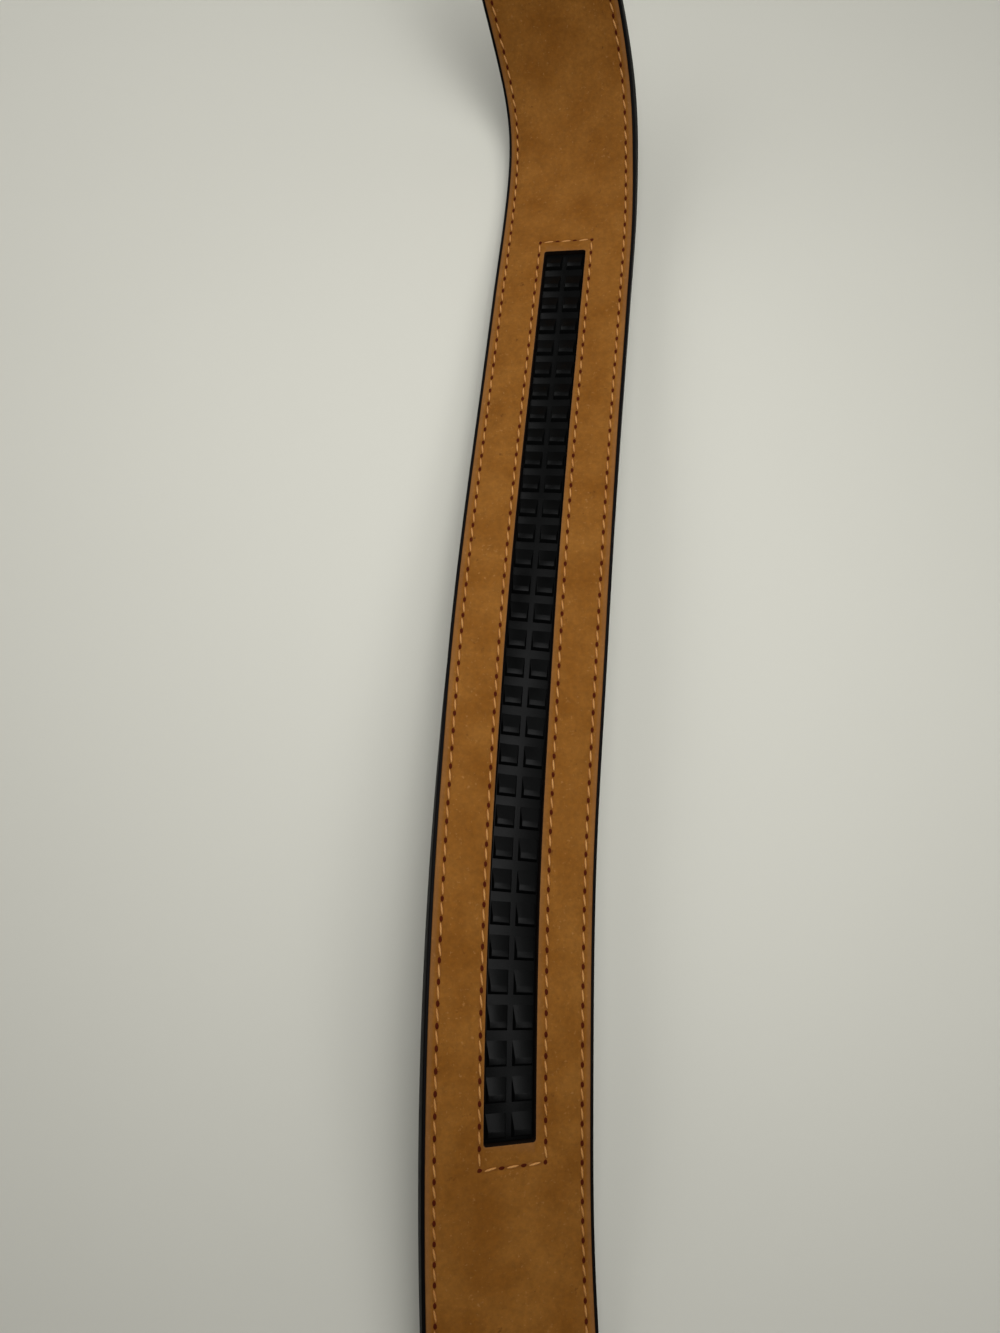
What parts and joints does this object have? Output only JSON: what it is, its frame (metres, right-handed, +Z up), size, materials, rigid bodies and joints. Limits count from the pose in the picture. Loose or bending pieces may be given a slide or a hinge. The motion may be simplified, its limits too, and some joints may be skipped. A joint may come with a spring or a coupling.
{
  "type": "ratchet belt",
  "caption": "Leather ratchet belt lying lining side up: a toothed moulded track shows through a slot in the lining, and its free tip curls off the surface.",
  "frame": {"origin": "middle of the belt's bounding box, on the surface that the belt lies on", "axes": "+Y along the belt from the buckle to the tip, +X across it, +Z up from the surface towards the lining"},
  "size_m": [0.0542, 1.2162, 0.0643],
  "materials": {
    "black_leather": "smooth black leather with painted edges",
    "tan_lining": "matte tan nubuck-like lining with orange thread",
    "black_plastic": "moulded black plastic with a slight gloss",
    "satin_metal": "satin metal"
  },
  "bodies": {
    "root": {"strap_outer": "black_leather", "strap_lining": "tan_lining", "ratchet_track": "black_plastic", "buckle": "satin_metal"}
  },
  "joints": []
}
